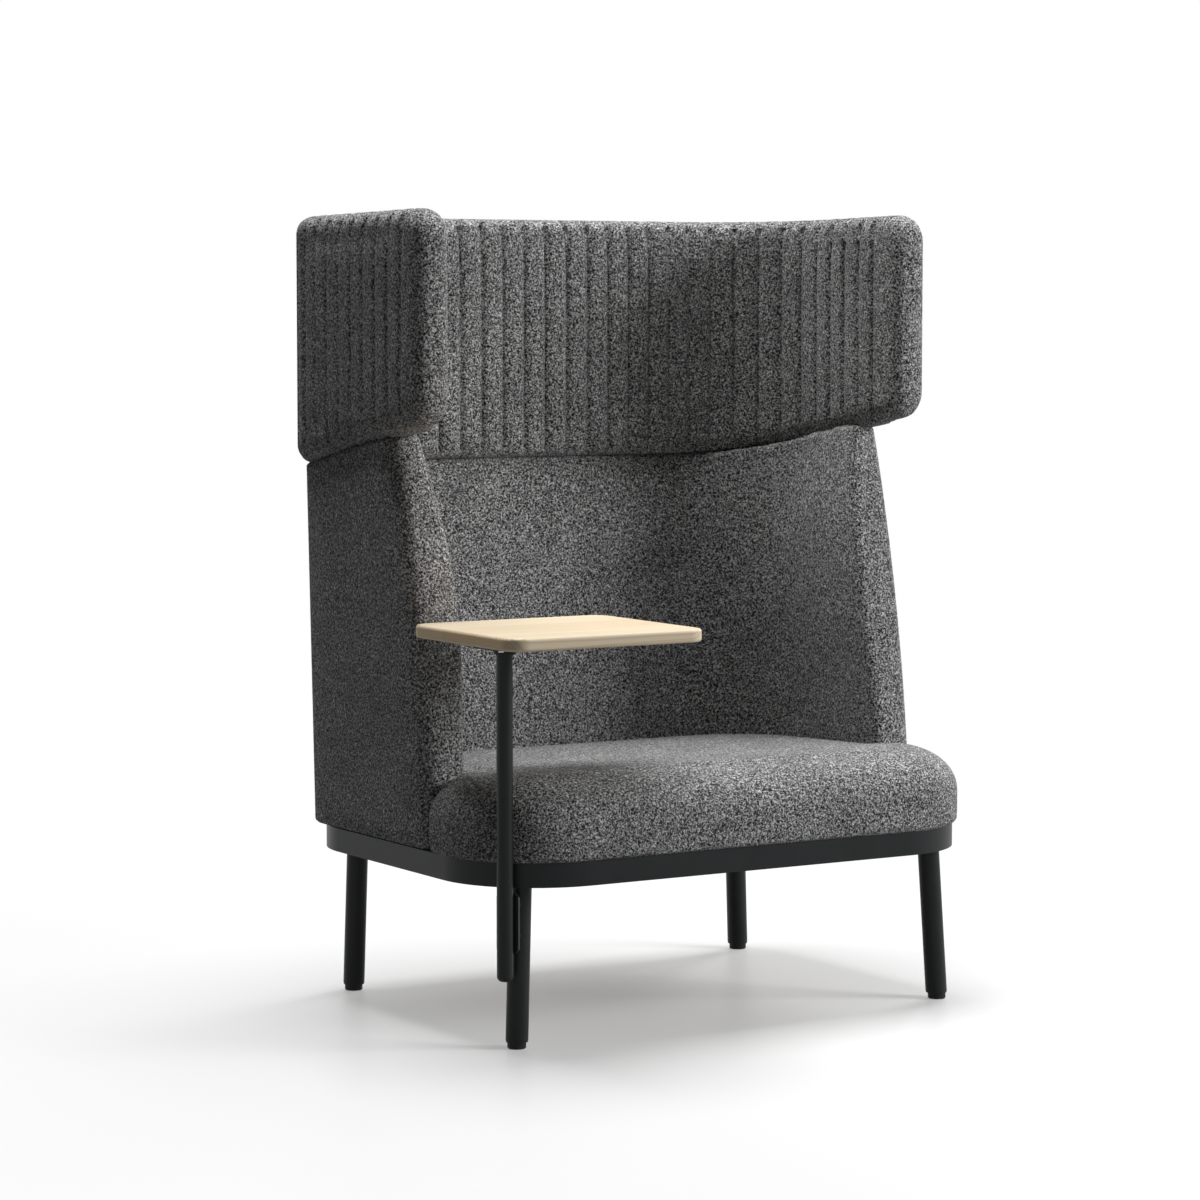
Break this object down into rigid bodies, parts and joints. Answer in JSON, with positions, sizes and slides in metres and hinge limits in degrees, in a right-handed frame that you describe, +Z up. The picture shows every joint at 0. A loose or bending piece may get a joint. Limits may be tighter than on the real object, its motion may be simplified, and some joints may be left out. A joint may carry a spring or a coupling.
{
  "type": "single-seat sofa with side table",
  "caption": "High-back upholstered lounge seat with a winged, channelled head wrap, a black steel base on splayed legs and a small wooden table that swivels on a post beside the front leg.",
  "frame": {"origin": "on the floor under the middle of the bounding box", "axes": "+Z is up, the seat faces -Y and +X is the right side as seen by someone looking at the seat's front"},
  "size_m": [0.968, 0.798, 1.2793],
  "materials": {
    "boucle": "looped charcoal yarn",
    "black_steel": "satin black powder coat",
    "steel": "zinc plated",
    "pale_wood": "clear matt lacquer",
    "plywood": "raw",
    "foam": "open-cell foam",
    "black_plastic": "moulded"
  },
  "bodies": {
    "chair": {"band_front": "black_steel", "band_rear": "black_steel", "band_left": "black_steel", "band_right": "black_steel", "band_bend_front_left": "black_steel", "band_bend_front_right": "black_steel", "band_bend_rear_left": "black_steel", "band_bend_rear_right": "black_steel", "cross_rail_front": "black_steel", "cross_rail_rear": "black_steel", "corner_plate_front_left": "black_steel", "corner_plate_front_right": "black_steel", "corner_plate_rear_left": "black_steel", "corner_plate_rear_right": "black_steel", "leg_front_left": "black_steel", "leg_front_right": "black_steel", "leg_rear_left": "black_steel", "leg_rear_right": "black_steel", "leg_bolts": "steel", "glide_front_left": "black_plastic", "glide_front_right": "black_plastic", "glide_rear_left": "black_plastic", "glide_rear_right": "black_plastic", "seat_board": "plywood", "seat_board_screws": "steel", "seat_foam": "foam", "seat_cover": "boucle", "back_board": "plywood", "back_screws": "steel", "back_pad": "boucle", "head_board": "plywood", "head_dowels": "plywood", "head_pad": "boucle", "table_post": "black_steel", "post_end_cap": "black_plastic", "post_bracket": "black_steel", "bracket_screws": "steel", "bush_upper": "black_plastic", "bush_lower": "black_plastic", "thrust_washer": "black_plastic"},
    "table": {"table_top": "pale_wood", "table_plate": "black_steel", "swivel_spindle": "black_steel", "table_screws": "steel"}
  },
  "joints": [
    {"name": "table_swivel", "type": "hinge", "parent": "chair", "child": "table", "pos_m": [-0.43329, -0.29029, 0.6125], "axis": [0, 0, 1], "range_deg": [-180, 0]}
  ]
}
